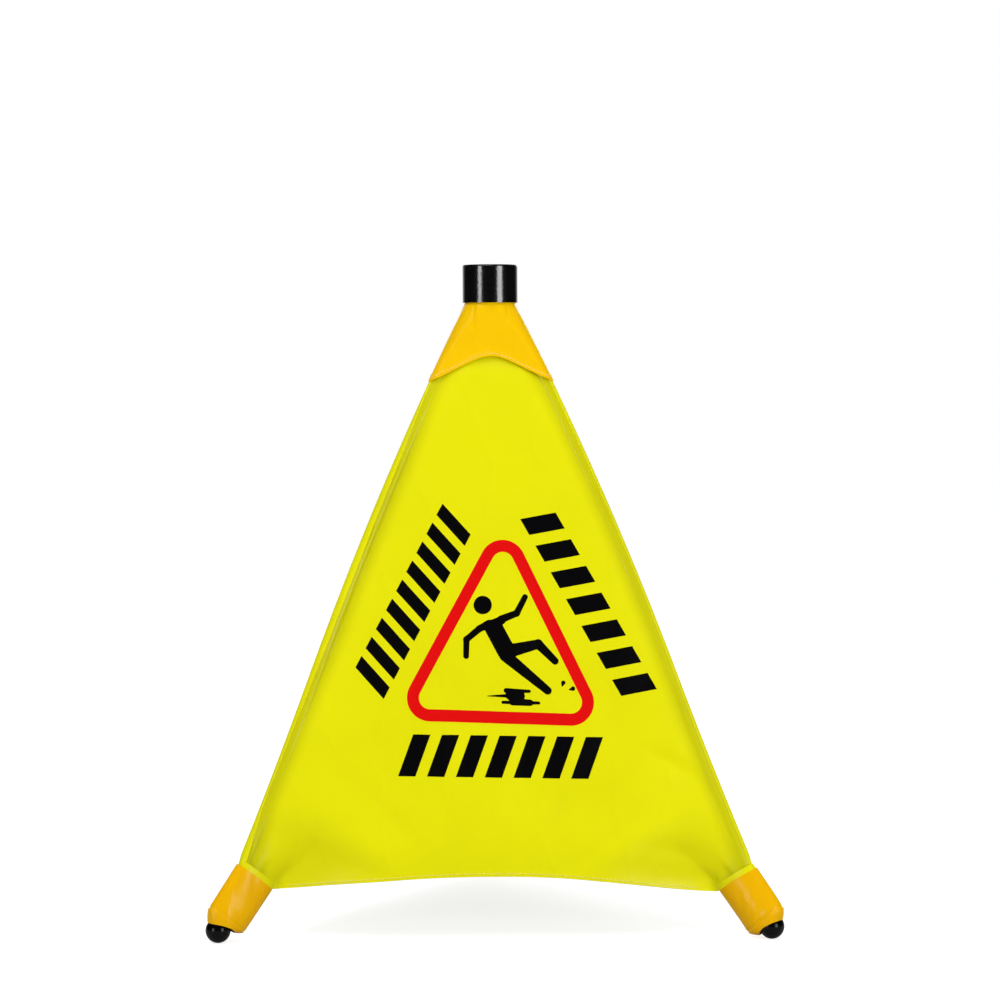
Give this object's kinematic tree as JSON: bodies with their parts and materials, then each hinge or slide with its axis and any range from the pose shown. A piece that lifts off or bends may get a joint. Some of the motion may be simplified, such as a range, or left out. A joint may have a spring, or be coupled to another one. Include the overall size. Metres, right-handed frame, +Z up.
{
  "type": "pop-up wet floor sign",
  "caption": "Pop-up fabric floor sign with sprung hinged poles under a moulded cap, vinyl collar and boots, and ball feet.",
  "frame": {"origin": "on the floor under the cap's axis, midway between the ball feet", "axes": "+Z up along the cap's axis, the front panel faces -Y, the rear leg points to +Y, +X to the right of the front panel as its viewer sees it"},
  "size_m": [0.433, 0.3776, 0.508],
  "materials": {
    "lime_fabric": "satin coated polyester",
    "amber_vinyl": "glossy vinyl-coated cloth",
    "black_cap_plastic": "gloss moulded",
    "black_foot_plastic": "gloss moulded",
    "hub_nylon": "moulded nylon",
    "pole_steel": "zinc-plated tube",
    "pin_steel": "plain steel",
    "spring_steel": "oiled spring wire"
  },
  "bodies": {
    "head": {"top_cap": "black_cap_plastic", "leg_hub": "hub_nylon", "cap_screw": "pin_steel", "top_collar": "amber_vinyl", "panel_front": "lime_fabric", "panel_left": "lime_fabric", "panel_right": "lime_fabric", "hinge_pin_front_left": "pin_steel", "hinge_pin_front_right": "pin_steel", "hinge_pin_rear": "pin_steel", "torsion_spring_front_left": "spring_steel", "torsion_spring_front_right": "spring_steel", "torsion_spring_rear": "spring_steel"},
    "leg_front_left": {"knuckle_front_left": "hub_nylon", "pole_front_left": "pole_steel", "pole_sleeve_front_left": "lime_fabric", "ball_foot_front_left": "black_foot_plastic", "boot_front_left": "amber_vinyl"},
    "leg_front_right": {"knuckle_front_right": "hub_nylon", "pole_front_right": "pole_steel", "pole_sleeve_front_right": "lime_fabric", "ball_foot_front_right": "black_foot_plastic", "boot_front_right": "amber_vinyl"},
    "leg_rear": {"knuckle_rear": "hub_nylon", "pole_rear": "pole_steel", "pole_sleeve_rear": "lime_fabric", "ball_foot_rear": "black_foot_plastic", "boot_rear": "amber_vinyl"}
  },
  "joints": [
    {"name": "leg_fold_front_left", "type": "hinge", "parent": "head", "child": "leg_front_left", "pos_m": [-0.00797, -0.0046, 0.488], "axis": [0.5, -0.866, 0], "range_deg": [0, 23], "stiffness_Nm_per_rad": 0.4, "springref_deg": -45.84, "deforming": ["torsion_spring_front_left"]},
    {"name": "leg_fold_front_right", "type": "hinge", "parent": "head", "child": "leg_front_right", "pos_m": [0.00797, -0.0046, 0.488], "axis": [0.5, 0.866, 0], "range_deg": [0, 23], "stiffness_Nm_per_rad": 0.4, "springref_deg": -45.84, "deforming": ["torsion_spring_front_right"]},
    {"name": "leg_fold_rear", "type": "hinge", "parent": "head", "child": "leg_rear", "pos_m": [0, 0.0092, 0.488], "axis": [-1, 0, 0], "range_deg": [0, 23], "stiffness_Nm_per_rad": 0.4, "springref_deg": -45.84, "deforming": ["torsion_spring_rear"]}
  ]
}
